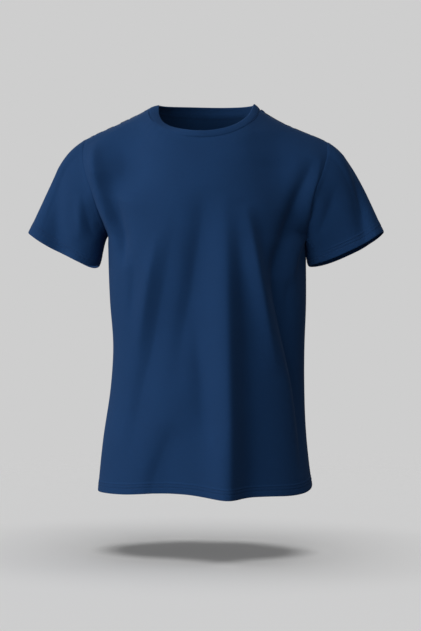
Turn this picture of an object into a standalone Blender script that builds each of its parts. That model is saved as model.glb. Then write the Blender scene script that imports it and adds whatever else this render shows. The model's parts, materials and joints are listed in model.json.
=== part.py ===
"""Crew neck t-shirt, filled out as it is worn, in five sewn pieces of knit cloth.

The frame is in metres with +Z up. The front faces -Y, and the origin is midway between the two
side neck points, where the collar rests on the wearer's shoulders.

The body is one smooth form. Horizontal sections give its widths and depths, and it rolls over
into a shoulder line at the top. The armholes and the neckline cut the front and back panels out
of it. Each sleeve is a loft from its armhole to a tilted oval hem, and the neck rib is a narrow
loft inwards from the neckline. The folds are soft ridges and troughs along routes on the cloth.
Every piece is a thin wall, and neighbouring pieces stop just short of each other at their seam.
"""
import math
from collections import namedtuple

import bpy
import numpy as np

# Cloth
WALL = 0.0016
SEAM_GAP = 0.0003

# Levels and reaches of the cut
UNDERARM_LEVEL = -0.230
SHOULDER_REACH = 0.217
NECK_REACH_LEFT = 0.1015
NECK_REACH_RIGHT = 0.0975
SHOULDER_ROLL = 0.100
FRONT_NECK_DROP = 0.0594
BACK_NECK_DROP = 0.0040
NECK_SQUARENESS = 0.85

# Neck rib
RIB_WIDTH = 0.0155
RIB_BULGE = 0.0008
RIB_LEAN_FRONT = math.radians(32)
RIB_LEAN_LEFT = math.radians(72)
RIB_LEAN_RIGHT = math.radians(45)
RIB_LEAN_BACK = math.radians(22)
RIB_TURN_FRONT = 4
RIB_TURN_BACK = 1

# Sleeves: how they hang from the vertical, how far the hem droops at the front and back and where it
# sags, how they leave the armhole (how much of the panel's fore and aft lean they keep, the way down
# under the arm and where that way takes over round the armhole), and how firmly they hold to both
SLEEVE_SLANT = math.radians(24.5)
SLEEVE_FORWARD = math.radians(4)
CUFF_SETBACK = 0.004
CUFF_DROOP = 0.008
CUFF_SAG_TURN = math.radians(137)
CUFF_SAG_SPREAD = math.radians(33)
LEAVE_LEAN = 0.35
GUSSET_DOWN = 0.78
GUSSET_START = 0.31
GUSSET_END = 0.94
LEAVE_PULL = 0.75
CUFF_PULL = 1.10

# Grid of the panels: columns over each shoulder and the neck, rows below and above the underarm
SHOULDER_COLUMNS = 7
NECK_COLUMNS = 22
BODY_ROWS = 18
YOKE_ROWS = 16
SLEEVE_ROWS = 9
RIB_ROWS = 3
NECK_SHARE = 0.55
NECK_FAN = 4
NECK_CALM = 0.030
NECK_STEPS = 25
SHARP_EDGE = math.radians(50)
SEAM_MATCH = 1e-5
RIM_ORDER = (0.11, 0.37, 1.0)

# Horizontal sections of the body form, from hem to neck. Above the underarm the widths are those
# of the form that the armholes cut through. A fullness of 2 is an ellipse.
Section = namedtuple("Section", "level left right front back fullness")
SECTIONS = (
    Section(-0.700, 0.1960, 0.1940, 0.117, 0.113, 2.2),
    Section(-0.660, 0.1928, 0.1880, 0.117, 0.112, 2.2),
    Section(-0.600, 0.1867, 0.1813, 0.117, 0.109, 2.2),
    Section(-0.500, 0.1719, 0.1773, 0.117, 0.104, 2.3),
    Section(-0.430, 0.1675, 0.1770, 0.118, 0.104, 2.4),
    Section(-0.350, 0.1725, 0.1794, 0.122, 0.112, 2.4),
    Section(-0.290, 0.1750, 0.1792, 0.126, 0.122, 2.3),
    Section(-0.248, 0.1763, 0.1784, 0.127, 0.127, 2.2),
    Section(-0.230, 0.1770, 0.1770, 0.127, 0.128, 2.2),
    Section(-0.210, 0.1880, 0.1880, 0.126, 0.129, 2.0),
    Section(-0.180, 0.2180, 0.2180, 0.124, 0.128, 1.6),
    Section(-0.150, 0.2520, 0.2520, 0.119, 0.126, 1.35),
    Section(-0.100, 0.2900, 0.2900, 0.106, 0.114, 1.2),
    Section(-0.060, 0.3100, 0.3100, 0.0915, 0.098, 1.2),
    Section(-0.020, 0.3200, 0.3200, 0.077, 0.080, 1.2),
    Section(0.040, 0.3200, 0.3200, 0.062, 0.062, 1.2),
)

# Shoulder line, read outwards from the middle of the neck, where it is level
Shoulder = namedtuple("Shoulder", "reach left right")
SHOULDER_LINE = (
    Shoulder(-0.060, 0.0200, 0.0200),
    Shoulder(0.000, 0.0400, 0.0400),
    Shoulder(0.060, 0.0220, 0.0180),
    Shoulder(0.102, -0.0022, -0.0105),
    Shoulder(0.130, -0.0166, -0.0272),
    Shoulder(0.170, -0.0348, -0.0456),
    Shoulder(0.200, -0.0478, -0.0580),
    Shoulder(0.217, -0.0560, -0.0660),
)

# Armhole from the underarm (rise 0) to the shoulder point (rise 1)
Armhole = namedtuple("Armhole", "rise reach")
ARMHOLE_LINE = (
    Armhole(0.00, 0.1770),
    Armhole(0.08, 0.1800),
    Armhole(0.24, 0.1880),
    Armhole(0.44, 0.1970),
    Armhole(0.65, 0.2100),
    Armhole(0.86, 0.2175),
    Armhole(1.00, 0.2170),
)

# Oval of each sleeve's hem: its middle, its half length outwards, its half depth and how far it sags
# towards the body. The gusset is the way out that the sleeve takes under the arm.
Cuff = namedtuple("Cuff", "reach level half_length half_depth sag gusset")
CUFFS = {
    -1: Cuff(0.2607, -0.2550, 0.0710, 0.0470, 0.0055, 0.70),
    1: Cuff(0.2510, -0.2565, 0.0732, 0.0420, 0.0008, 0.42),
}

# Hem level across the body, from one side seam (-1) to the other (1)
Hem = namedtuple("Hem", "across front back")
HEM_LINE = (
    Hem(-1.00, -0.6915, -0.6915),
    Hem(-0.70, -0.6900, -0.6900),
    Hem(-0.50, -0.6884, -0.6880),
    Hem(-0.25, -0.6834, -0.6885),
    Hem(-0.08, -0.6831, -0.6890),
    Hem(0.17, -0.6892, -0.6870),
    Hem(0.33, -0.6877, -0.6850),
    Hem(0.45, -0.6875, -0.6840),
    Hem(0.60, -0.6884, -0.6845),
    Hem(0.75, -0.6870, -0.6850),
    Hem(1.00, -0.6800, -0.6800),
)

# Folds. A route runs down the cloth by its x and z on the body, or by degrees round a sleeve from
# the shoulder forwards and the share of the way to its cuff. Each place ends with the fold's
# height there: a ridge is above 0 and a trough below. Left and right are the widths of its two
# flanks, seen from outside.
Fold = namedtuple("Fold", "name left right route")
ROUTE_STEPS = 25
FRONT_FOLDS = (
    Fold("long ridge", 0.038, 0.024, (
        (0.045, -0.160, 0.000), (0.048, -0.250, 0.008), (0.050, -0.380, 0.015),
        (0.051, -0.530, 0.019), (0.052, -0.700, 0.018))),
    Fold("valley beside the long ridge", 0.020, 0.034, (
        (0.072, -0.200, 0.000), (0.076, -0.290, -0.004), (0.084, -0.400, -0.003),
        (0.092, -0.550, -0.002), (0.094, -0.700, -0.002))),
    Fold("second ridge", 0.020, 0.020, (
        (0.080, -0.180, 0.000), (0.092, -0.225, 0.006), (0.100, -0.281, 0.009),
        (0.107, -0.335, 0.008), (0.116, -0.390, 0.004), (0.130, -0.480, 0.000))),
    Fold("drag from the right armpit", 0.022, 0.024, (
        (0.197, -0.096, 0.000), (0.183, -0.140, -0.007), (0.164, -0.188, -0.010),
        (0.145, -0.234, -0.010), (0.132, -0.275, -0.007), (0.128, -0.310, 0.000))),
    Fold("drape across to the right side", 0.022, 0.032, (
        (0.134, -0.245, 0.000), (0.129, -0.330, -0.009), (0.139, -0.380, -0.010),
        (0.152, -0.440, -0.009), (0.164, -0.500, -0.006), (0.171, -0.560, 0.000))),
    Fold("ridge below the right armpit", 0.020, 0.016, (
        (0.208, -0.095, 0.000), (0.200, -0.135, 0.005), (0.184, -0.181, 0.006),
        (0.169, -0.227, 0.004), (0.152, -0.320, 0.000))),
    Fold("left slanting trough", 0.018, 0.028, (
        (-0.030, -0.174, 0.000), (-0.058, -0.281, -0.007), (-0.077, -0.381, -0.009),
        (-0.101, -0.495, -0.008), (-0.124, -0.630, 0.000))),
    Fold("middle trough", 0.022, 0.028, (
        (0.014, -0.150, 0.000), (0.010, -0.218, -0.006), (0.001, -0.280, -0.009),
        (-0.010, -0.340, -0.009), (-0.034, -0.450, -0.004), (-0.040, -0.510, 0.000))),
    Fold("low left crease", 0.014, 0.026, (
        (-0.034, -0.535, 0.000), (-0.064, -0.612, -0.004), (-0.079, -0.651, -0.006),
        (-0.085, -0.690, -0.004))),
    Fold("drag from the left armpit", 0.018, 0.022, (
        (-0.190, -0.090, 0.000), (-0.176, -0.135, -0.007), (-0.160, -0.187, -0.008),
        (-0.145, -0.234, -0.006), (-0.124, -0.285, 0.000))),
    Fold("second drag from the left armpit", 0.016, 0.022, (
        (-0.136, -0.046, 0.000), (-0.150, -0.082, -0.007), (-0.161, -0.112, -0.008),
        (-0.178, -0.160, 0.000))),
    Fold("right chest hollow", 0.032, 0.034, (
        (0.100, -0.045, 0.000), (0.116, -0.074, -0.006), (0.127, -0.108, -0.008),
        (0.112, -0.200, 0.000))),
)
BACK_FOLDS = (
    Fold("left hanging ridge", 0.045, 0.028, (
        (-0.074, -0.190, 0.000), (-0.070, -0.350, 0.006), (-0.062, -0.520, 0.010),
        (-0.060, -0.700, 0.011))),
    Fold("middle trough", 0.030, 0.040, (
        (0.022, -0.150, 0.000), (0.012, -0.300, -0.005), (0.000, -0.450, -0.007),
        (-0.010, -0.700, -0.004))),
    Fold("right hanging ridge", 0.030, 0.045, (
        (0.088, -0.210, 0.000), (0.091, -0.360, 0.006), (0.082, -0.500, 0.009),
        (0.076, -0.700, 0.010))),
    Fold("drag from the right armhole", 0.020, 0.024, (
        (0.182, -0.110, 0.000), (0.163, -0.170, -0.008), (0.136, -0.235, -0.008),
        (0.122, -0.310, -0.005), (0.138, -0.440, 0.000))),
    Fold("drag from the left armhole", 0.024, 0.018, (
        (-0.184, -0.105, 0.000), (-0.166, -0.165, -0.007), (-0.142, -0.215, -0.006),
        (-0.128, -0.290, 0.000))),
    Fold("left waist crease", 0.016, 0.022, (
        (-0.130, -0.392, 0.000), (-0.080, -0.424, -0.005), (-0.025, -0.432, 0.000))),
    Fold("right waist crease", 0.018, 0.016, (
        (0.155, -0.408, 0.000), (0.110, -0.440, -0.004), (0.060, -0.452, 0.000))),
)
LEFT_SLEEVE_FOLDS = (
    Fold("outer trough", 0.012, 0.012, (
        (38, 0.42, 0.000), (50, 0.60, -0.005), (62, 0.75, -0.008), (72, 0.88, -0.008),
        (82, 1.00, -0.006))),
    Fold("armpit crease", 0.012, 0.014, (
        (94, 0.10, 0.000), (112, 0.30, -0.004), (136, 0.44, -0.004), (152, 0.48, 0.000))),
    Fold("back crease", 0.014, 0.016, (
        (268, 0.10, 0.000), (248, 0.34, -0.006), (222, 0.50, -0.004))),
    Fold("back trough", 0.014, 0.016, (
        (305, 0.40, 0.000), (296, 0.70, -0.004), (288, 1.00, -0.003))),
)
RIGHT_SLEEVE_FOLDS = (
    Fold("outer trough", 0.014, 0.014, (
        (16, 0.25, 0.000), (34, 0.50, -0.005), (56, 0.75, -0.004), (72, 0.92, 0.000))),
    Fold("armpit crease", 0.010, 0.012, (
        (92, 0.18, 0.000), (112, 0.36, -0.005), (138, 0.46, 0.000))),
    Fold("back crease", 0.014, 0.016, (
        (264, 0.12, 0.000), (246, 0.36, -0.006), (220, 0.48, -0.003))),
    Fold("back trough", 0.016, 0.014, (
        (318, 0.35, 0.000), (308, 0.70, -0.004), (300, 1.00, -0.004))),
)

CLOSED = ("sleeve_left", "sleeve_right", "neck_rib")
NAVY = (0.013, 0.045, 0.135)
CLOTH_COLOURS = dict.fromkeys(("front", "back", "sleeve_left", "sleeve_right", "neck_rib"), NAVY)
CLOTH_ROUGHNESS = 0.85


def column(rows, name):
    return np.array([getattr(row, name) for row in rows])


def curve(at, knots, values):
    """Smooth curve through a table's rows, read at any places between them."""
    slopes = np.gradient(values, knots)
    at = np.clip(at, knots[0], knots[-1])
    i = np.clip(np.searchsorted(knots, at, side="right") - 1, 0, len(knots) - 2)
    span = knots[i + 1] - knots[i]
    t = (at - knots[i]) / span
    start = (1 + 2 * t) * (1 - t) ** 2 * values[i] + t * (1 - t) ** 2 * span * slopes[i]
    end = t * t * (3 - 2 * t) * values[i + 1] + t * t * (t - 1) * span * slopes[i + 1]
    return start + end


def section(level, name):
    return curve(level, column(SECTIONS, "level"), column(SECTIONS, name))


def ease(t):
    """Smooth step from 0 to 1."""
    t = np.clip(t, 0, 1)
    return t * t * (3 - 2 * t)


def shoulder_level(x):
    reach = column(SHOULDER_LINE, "reach")
    left = curve(np.abs(x), reach, column(SHOULDER_LINE, "left"))
    right = curve(np.abs(x), reach, column(SHOULDER_LINE, "right"))
    return np.where(x < 0, left, right)


def form_width(side, level):
    return np.where(side < 0, section(level, "left"), section(level, "right"))


def armhole_reach(side, level):
    top = shoulder_level(side * SHOULDER_REACH)
    rise = (level - UNDERARM_LEVEL) / (top - UNDERARM_LEVEL)
    return curve(rise, column(ARMHOLE_LINE, "rise"), column(ARMHOLE_LINE, "reach"))


def body_point(face, x, z):
    """Point of the body form at x and z, on the front (face -1) or the back (face 1)."""
    width = form_width(np.sign(x), z)
    across = 1 - np.clip(np.abs(x) / width, 0, 1) ** 2
    drop = np.clip((shoulder_level(x) - z) / SHOULDER_ROLL, 0, 1)
    roll = np.sqrt(drop * (2 - drop))
    depth = section(z, "front" if face < 0 else "back")
    y = face * depth * across ** (1 / section(z, "fullness")) * roll
    return np.stack([x, y, z], -1)


def column_shares(fineness=1):
    """Places of the panels' columns, -1 at one side edge and 1 at the other."""
    neck = np.linspace(-NECK_SHARE, NECK_SHARE, NECK_COLUMNS * fineness + 1)
    shoulder = np.linspace(NECK_SHARE, 1, SHOULDER_COLUMNS * fineness + 1)[1:]
    return np.concatenate([-shoulder[::-1], neck, shoulder])


def yoke_rises(fineness=1):
    """Rises of the rows between the underarm (0) and the shoulder (1)."""
    t = np.linspace(0, 1, YOKE_ROWS * fineness + 1)
    return (np.sin(math.pi / 2 * t) + ease(t)) / 2


def neckline(face, turn):
    """Neckline seam from one side neck point (turn -1) to the other (turn 1)."""
    square = NECK_SQUARENESS
    angle = math.pi / 2 * ((1 - square) * turn + square * np.sin(turn * math.pi / 2))
    x = np.where(turn < 0, NECK_REACH_LEFT, NECK_REACH_RIGHT) * np.sin(angle)
    drop = FRONT_NECK_DROP if face < 0 else BACK_NECK_DROP
    left, right = shoulder_level(-NECK_REACH_LEFT), shoulder_level(NECK_REACH_RIGHT)
    level = left + (right - left) * (x + NECK_REACH_LEFT) / (NECK_REACH_LEFT + NECK_REACH_RIGHT)
    return x, level - drop * np.cos(angle)


def panel_grid(face, fineness=1):
    """Points of a body panel, in rows from the hem up and columns from -X to +X."""
    share = column_shares(fineness)
    side = np.sign(share)
    side[share == 0] = 1
    on_neck = np.abs(share) <= NECK_SHARE + 1e-9
    neck_x, neck_z = neckline(face, np.clip(share / NECK_SHARE, -1, 1))
    outward = (np.abs(share) - NECK_SHARE) / (1 - NECK_SHARE)
    neck_reach = np.where(side < 0, NECK_REACH_LEFT, NECK_REACH_RIGHT)
    shoulder_x = side * (neck_reach + outward * (SHOULDER_REACH - neck_reach))
    top_x = np.where(on_neck, neck_x, shoulder_x)
    top_z = np.where(on_neck, neck_z, shoulder_level(shoulder_x))
    hem_name = "front" if face < 0 else "back"
    hem_z = curve(share, column(HEM_LINE, "across"), column(HEM_LINE, hem_name))
    rows = []
    for rise in np.linspace(0, 1, BODY_ROWS * fineness, endpoint=False):
        z = hem_z + rise * (UNDERARM_LEVEL - hem_z)
        x = form_width(side, z) * np.sin(share * math.pi / 2)
        rows.append(body_point(face, x, z))
    for rise in yoke_rises(fineness):
        z = UNDERARM_LEVEL + rise * (top_z - UNDERARM_LEVEL)
        reach = armhole_reach(side, np.minimum(z, shoulder_level(side * SHOULDER_REACH)))
        angle = np.arcsin(np.clip(reach / form_width(side, z), 0, 1))
        spread = np.sin(share * angle) / np.sin(angle)
        fan = np.clip(np.abs(share) / NECK_SHARE, 0, 1) ** NECK_FAN
        blend = (1 - fan) * ease(rise) + fan * (1 - math.sqrt(max(0, 1 - rise ** 2)))
        x = reach * ((1 - blend) * spread + blend * top_x / SHOULDER_REACH)
        rows.append(body_point(face, x, z))
    return np.array(rows)


def cuff_axes(side):
    """Directions of a sleeve's hem: outwards along it, to its front, and on down the arm."""
    slant, forward = SLEEVE_SLANT, SLEEVE_FORWARD
    out = np.array([side * math.cos(slant), 0, math.sin(slant)])
    down = np.array([side * math.sin(slant) * math.cos(forward), -math.sin(forward),
                     -math.cos(slant) * math.cos(forward)])
    front = np.cross(out, down) * side
    return out, front * math.copysign(1, -front[1]), down


def sleeve_grid(side, fineness=1):
    """Points of a sleeve, in rows from the armhole to the cuff, once round from the shoulder."""
    front, back = panel_grid(-1, fineness), panel_grid(1, fineness)
    edge = 0 if side < 0 else -1
    inner = 1 if side < 0 else -2
    below = BODY_ROWS * fineness
    ring = np.concatenate([front[:below - 1:-1, edge], back[below + 1:-1, edge]])
    beside = np.concatenate([front[:below - 1:-1, inner], back[below + 1:-1, inner]])
    count = len(ring)
    turn = np.arange(count) / count * 2 * math.pi
    along = np.roll(ring, -1, 0) - np.roll(ring, 1, 0)
    along /= np.linalg.norm(along, axis=1)[:, None]
    leave = ring - beside
    leave -= (leave * along).sum(1)[:, None] * along
    leave /= np.linalg.norm(leave, axis=1)[:, None]
    gusset = np.array([side * CUFFS[side].gusset, 0, -GUSSET_DOWN])
    leave[:, 1] *= LEAVE_LEAN
    below_shoulder = (1 - np.cos(turn)) / 2
    under = ease((below_shoulder - GUSSET_START) / (GUSSET_END - GUSSET_START))[:, None]
    leave = leave * (1 - under) + gusset * under
    leave /= np.linalg.norm(leave, axis=1)[:, None]
    out, ahead, down = cuff_axes(side)
    size = CUFFS[side]
    middle = np.array([side * size.reach, CUFF_SETBACK, size.level])
    from_sag = math.pi - np.abs(math.pi - turn) - CUFF_SAG_TURN
    sagging = np.exp(-(from_sag / CUFF_SAG_SPREAD) ** 2)
    cuff = (middle + np.cos(turn)[:, None] * size.half_length * out
            + np.sin(turn)[:, None] * size.half_depth * ahead
            + np.sin(turn)[:, None] ** 2 * CUFF_DROOP * down
            + sagging[:, None] * size.sag * down)
    span = np.linalg.norm(cuff - ring, axis=1)[:, None]
    rows = []
    for t in np.linspace(0, 1, SLEEVE_ROWS * fineness + 1):
        start = (1 + 2 * t) * (1 - t) ** 2 * ring + t * t * (3 - 2 * t) * cuff
        leaving = t * (1 - t) ** 2 * span * LEAVE_PULL * leave
        arriving = t * t * (t - 1) * span * CUFF_PULL * down
        rows.append(start + leaving + arriving)
    return np.array(rows)


def rib_grid(fineness=1):
    """Points of the neck rib, in rows from the neckline seam to the opening."""
    front, back = panel_grid(-1, fineness), panel_grid(1, fineness)
    first = SHOULDER_COLUMNS * fineness
    last = first + NECK_COLUMNS * fineness
    ring = np.concatenate([front[-1, first:last + 1], back[-1, last - 1:first:-1]])
    inward = -ring[:, :2] / np.linalg.norm(ring[:, :2], axis=1)[:, None]
    inward = np.column_stack([inward, np.zeros(len(ring))])
    facing = np.abs(inward[:, 1])
    centre = np.where(ring[:, 1] < 0, RIB_LEAN_FRONT, RIB_LEAN_BACK)
    beside = np.where(ring[:, 0] < 0, RIB_LEAN_LEFT, RIB_LEAN_RIGHT)
    turning = np.where(ring[:, 1] < 0, RIB_TURN_FRONT, RIB_TURN_BACK)
    lean = (beside + (centre - beside) * facing ** turning)[:, None]
    up = np.array([0, 0, 1])
    along = np.sin(lean) * inward + np.cos(lean) * up
    proud = np.sin(lean) * up - np.cos(lean) * inward
    rows = []
    for t in np.linspace(0, 1, RIB_ROWS * fineness + 1):
        rows.append(ring + t * RIB_WIDTH * along + RIB_BULGE * math.sin(math.pi * t) * proud)
    return np.array(rows)


def sleeve_point(grid, around, along):
    """Point on a sleeve, around in degrees from the shoulder forwards, along 0 to 1 to the cuff."""
    rows, columns = len(grid) - 1, grid.shape[1]
    row, part = divmod(along * rows, 1)
    place, share = divmod(around / 360 * columns, 1)
    row, place = min(int(row), rows - 1), int(place)
    part = along * rows - row
    near = grid[row, place % columns] * (1 - share) + grid[row, (place + 1) % columns] * share
    far = grid[row + 1, place % columns] * (1 - share) + grid[row + 1, (place + 1) % columns] * share
    return near * (1 - part) + far * part


def fold_route(fold, place):
    """Points and heights along a fold's route, smoothly between its few given places."""
    given = np.array(fold.route)
    knots = np.arange(len(given), dtype=float)
    at = np.linspace(0, knots[-1], ROUTE_STEPS)
    across, up, height = (curve(at, knots, given[:, i]) for i in range(3))
    points = np.array([place(a, b) for a, b in zip(across, up)])
    return points, height


def fold_lift(points, normals, fold, place):
    """How far a fold lifts each point of a piece along its normal."""
    route, height = fold_route(fold, place)
    best = np.full(points.shape[:-1], np.inf)
    lift = np.zeros(points.shape[:-1])
    for i in range(len(route) - 1):
        step = route[i + 1] - route[i]
        share = np.clip(((points - route[i]) @ step) / (step @ step), 0, 1)
        apart = points - route[i] - share[..., None] * step
        distance = np.linalg.norm(apart, axis=-1)
        to_left = (np.cross(step, normals) * apart).sum(-1) > 0
        width = np.where(to_left, fold.left, fold.right)
        crest = height[i] * (1 - share) + height[i + 1] * share
        nearer = distance < best
        best = np.where(nearer, distance, best)
        lift = np.where(nearer, crest * np.exp(-(distance / width) ** 2), lift)
    return lift


def garment_grids(fineness=1):
    """Outer points of the five pieces of the smooth form, each wound so that it faces out."""
    return {
        "front": panel_grid(-1, fineness),
        "back": panel_grid(1, fineness)[:, ::-1],
        "sleeve_left": sleeve_grid(-1, fineness)[:, ::-1],
        "sleeve_right": sleeve_grid(1, fineness),
        "neck_rib": rib_grid(fineness),
    }


def seam_keys(points):
    """Whole numbers that are the same for points that meet at a seam."""
    return np.round(points.reshape(-1, 3) / SEAM_MATCH).astype(int)


def garment_normals(grids):
    """Outward normals of every piece's points, shared where pieces meet at a seam."""
    keys = np.concatenate([seam_keys(grid) for grid in grids.values()])
    places, joined = np.unique(keys, axis=0, return_inverse=True)
    joined = joined.reshape(-1)
    total = np.zeros((len(places), 3))
    start = 0
    for name, grid in grids.items():
        index = joined[start:start + grid[..., 0].size].reshape(grid.shape[:2])
        start += index.size
        if name in CLOSED:
            index = np.column_stack([index, index[:, 0]])
            grid = np.concatenate([grid, grid[:, :1]], 1)
        corners = [(slice(None, -1), slice(None, -1)), (slice(None, -1), slice(1, None)),
                   (slice(1, None), slice(1, None)), (slice(1, None), slice(None, -1))]
        a, b, c, d = (grid[corner] for corner in corners)
        facing = np.cross(c - a, d - b).reshape(-1, 3)
        for corner in corners:
            np.add.at(total, index[corner].reshape(-1), facing)
    total /= np.linalg.norm(total, axis=1)[:, None]
    normals = total[joined]
    found = {}
    start = 0
    for name, grid in grids.items():
        size = grid[..., 0].size
        found[name] = normals[start:start + size].reshape(grid.shape)
        start += size
    return found


def neck_distance(points):
    """How far each point is from the neckline seam."""
    turn = np.linspace(-1, 1, NECK_STEPS)
    seam = np.concatenate([body_point(face, *neckline(face, turn)) for face in (-1, 1)])
    nearest = np.full(points.shape[:-1], np.inf)
    for place in seam:
        nearest = np.minimum(nearest, np.linalg.norm(points - place, axis=-1))
    return nearest


def folded(grids):
    """The pieces with every fold lifted or sunk in them."""
    normals = garment_normals(grids)
    places = [(FRONT_FOLDS, lambda x, z: body_point(-1, x, z)),
              (BACK_FOLDS, lambda x, z: body_point(1, x, z))]
    for name, folds in (("sleeve_left", LEFT_SLEEVE_FOLDS), ("sleeve_right", RIGHT_SLEEVE_FOLDS)):
        form = grids[name] if name == "sleeve_right" else grids[name][:, ::-1]
        places.append((folds, lambda around, along, form=form: sleeve_point(form, around, along)))
    result = {}
    for name, grid in grids.items():
        lift = np.zeros(grid.shape[:2])
        for folds, place in places:
            for fold in folds:
                lift += fold_lift(grid, normals[name], fold, place)
        lift *= ease(neck_distance(grid) / NECK_CALM)
        result[name] = grid + lift[..., None] * normals[name]
    return result


def border(name, shape):
    """A piece's edges as loops of point numbers, each with which of its stretches are sewn."""
    index = np.arange(shape[0] * shape[1]).reshape(shape)
    if name in CLOSED:
        return [(np.append(index[0], index[0, 0]), True),
                (np.append(index[-1], index[-1, 0])[::-1], False)]
    up, over, down = index[1:, -1], index[-1, -2::-1], index[-2::-1, 0]
    return [(index[0], False), (np.concatenate([index[0, -1:], up, over, down]), True)]


def trimmed(name, grid, normals):
    """A piece's points with its sewn edges drawn back by half the gap, square to the cloth."""
    points = grid.reshape(-1, 3).copy()
    facing = normals.reshape(-1, 3)
    for loop, sewn in border(name, grid.shape[:2]):
        if not sewn:
            continue
        step = points[loop[1:]] - points[loop[:-1]]
        step /= np.linalg.norm(step, axis=1)[:, None]
        ends = np.array([step[-1], step[0]]) if name in CLOSED else np.array([step[0], step[-1]])
        before = np.concatenate([ends[:1], step])
        after = np.concatenate([step, ends[1:]])
        inward = [np.cross(facing[loop], way) for way in (before, after)]
        inward = [way / np.linalg.norm(way, axis=1)[:, None] for way in inward]
        spread = 1 + (inward[0] * inward[1]).sum(1)
        move = (inward[0] + inward[1]) / spread[:, None] * SEAM_GAP / 2
        last = -1 if name in CLOSED else None
        points[loop[:last]] = points[loop[:last]] + move[:last]
    return points.reshape(grid.shape)


def wall_mesh(name, outer, inner):
    """Closed wall between a piece's outer and inner points."""
    rows, columns = outer.shape[:2]
    count = rows * columns
    index = np.arange(count).reshape(rows, columns)
    if name in CLOSED:
        index = np.column_stack([index, index[:, 0]])
    a, b = index[:-1, :-1].ravel(), index[:-1, 1:].ravel()
    c, d = index[1:, 1:].ravel(), index[1:, :-1].ravel()
    sheet = np.concatenate([np.column_stack([a, b, c]), np.column_stack([a, c, d])])
    points = np.concatenate([outer.reshape(-1, 3), inner.reshape(-1, 3)])
    rank = points @ np.array(RIM_ORDER)
    faces = [sheet, sheet[:, ::-1] + count]
    for rim, _ in border(name, outer.shape[:2]):
        for near, far in zip(rim[:-1], rim[1:]):
            if rank[near] > rank[far]:
                faces.append([[far, near, far + count], [near, near + count, far + count]])
            else:
                faces.append([[far, near, near + count], [far, near + count, far + count]])
    mesh = bpy.data.meshes.new(name)
    mesh.from_pydata(points.tolist(), [], np.concatenate(faces).tolist())
    mesh.update()
    mesh.shade_smooth()
    mesh.set_sharp_from_angle(angle=SHARP_EDGE)
    return mesh


def cloth_material(name, colour, roughness):
    material = bpy.data.materials.new(name)
    material.use_nodes = True
    shader = material.node_tree.nodes["Principled BSDF"]
    shader.inputs["Base Color"].default_value = (*colour, 1)
    shader.inputs["Roughness"].default_value = roughness
    shader.inputs["Metallic"].default_value = 0
    material.diffuse_color = (*colour, 1)
    return material


def main():
    for thing in list(bpy.data.objects):
        bpy.data.objects.remove(thing)
    shirt = bpy.data.collections.new("crew_neck_t_shirt")
    bpy.context.scene.collection.children.link(shirt)
    grids = folded(garment_grids())
    normals = garment_normals(grids)
    for name, grid in grids.items():
        outer = trimmed(name, grid, normals[name])
        mesh = wall_mesh(name, outer, outer - WALL * normals[name])
        mesh.materials.append(cloth_material(name, CLOTH_COLOURS[name], CLOTH_ROUGHNESS))
        shirt.objects.link(bpy.data.objects.new(name, mesh))


main()
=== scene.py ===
import json
import math
from collections import namedtuple

import bpy
import numpy as np
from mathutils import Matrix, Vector, noise

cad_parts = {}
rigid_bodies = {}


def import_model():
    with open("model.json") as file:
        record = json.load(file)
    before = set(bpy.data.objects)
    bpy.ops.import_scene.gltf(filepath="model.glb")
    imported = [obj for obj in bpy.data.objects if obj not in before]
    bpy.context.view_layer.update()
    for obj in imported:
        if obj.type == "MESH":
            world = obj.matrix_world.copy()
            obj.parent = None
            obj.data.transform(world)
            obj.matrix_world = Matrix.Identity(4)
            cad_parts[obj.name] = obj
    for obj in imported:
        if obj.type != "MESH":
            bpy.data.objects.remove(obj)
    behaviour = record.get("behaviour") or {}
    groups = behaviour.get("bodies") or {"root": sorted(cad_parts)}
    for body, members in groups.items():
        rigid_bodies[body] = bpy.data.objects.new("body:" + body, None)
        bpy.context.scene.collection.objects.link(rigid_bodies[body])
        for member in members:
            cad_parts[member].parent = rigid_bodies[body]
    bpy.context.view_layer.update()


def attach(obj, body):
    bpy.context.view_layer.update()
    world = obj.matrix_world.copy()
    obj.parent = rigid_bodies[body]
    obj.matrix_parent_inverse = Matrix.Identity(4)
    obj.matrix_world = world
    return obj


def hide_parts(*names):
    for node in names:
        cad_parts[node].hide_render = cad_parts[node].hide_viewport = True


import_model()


def table(names, rows):
    """A table's columns by name."""
    return dict(zip(names.split(), np.array(rows).T))


# ---- The shirt's form, with the sizes of the solids ----

UNDERARM_LEVEL = -0.230
SHOULDER_REACH = 0.217         # outer end of the shoulder seams
SHOULDER_ROLL = 0.100          # height below the shoulder line in which the body fills out
NECK_REACH_LEFT = 0.1015       # side neck points
NECK_REACH_RIGHT = 0.0975
FRONT_NECK_DROP = 0.0594
BACK_NECK_DROP = 0.0040
NECK_SQUARENESS = 0.85
NECK_SHARE = 0.55              # share of a panel's width that ends at the neckline
NECK_FAN = 4
NECK_CALM = 0.030              # folds fade in over this distance from the neckline
NECK_STEPS = 25                # places on the front and on the back neckline, to measure it

RIB_WIDTH = 0.0155
RIB_BULGE = 0.0008
RIB_LEAN_FRONT = math.radians(6)       # inward lean of the band
RIB_LEAN_LEFT = math.radians(72)
RIB_LEAN_RIGHT = math.radians(45)
RIB_LEAN_BACK = math.radians(22)
RIB_ROLL_LEFT = math.radians(14)       # more lean half way from a side to the front
RIB_ROLL_RIGHT = math.radians(3)
RIB_TURN_FRONT = 4             # the higher, the nearer to the centre its own lean starts
RIB_TURN_BACK = 1
RIB_FRONT_TUCK = 0.20          # share by which the band is narrower at the front
RIB_LEFT_REACH = 0.25          # share by which it is wider at the left side
RIB_LEFT_DEPTH = 0.060         # depth in which that fades, towards the back

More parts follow.
